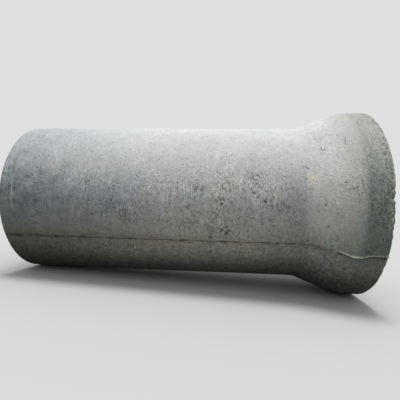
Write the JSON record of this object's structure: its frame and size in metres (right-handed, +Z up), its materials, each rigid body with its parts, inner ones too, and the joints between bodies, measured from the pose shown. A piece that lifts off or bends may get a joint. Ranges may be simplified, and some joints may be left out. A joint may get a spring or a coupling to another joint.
{
  "type": "concrete sewer pipe",
  "caption": "Cast concrete drain pipe lying on the floor, with a plain spigot at one end and a flared bell with a ring socket at the other.",
  "frame": {"origin": "on the floor, below the middle of the pipe's box, as the pipe comes to rest on its bell and on the heel of its spigot", "axes": "+X runs along the pipe from the spigot to the bell mouth, level, while the pipe's own axis rises 2.885 degrees from it; +Z is up; +Y completes the frame, across the pipe"},
  "size_m": [2.712, 1.444, 1.4496],
  "materials": {
    "concrete": "matte"
  },
  "bodies": {
    "root": {"concrete_pipe": "concrete"}
  },
  "joints": []
}
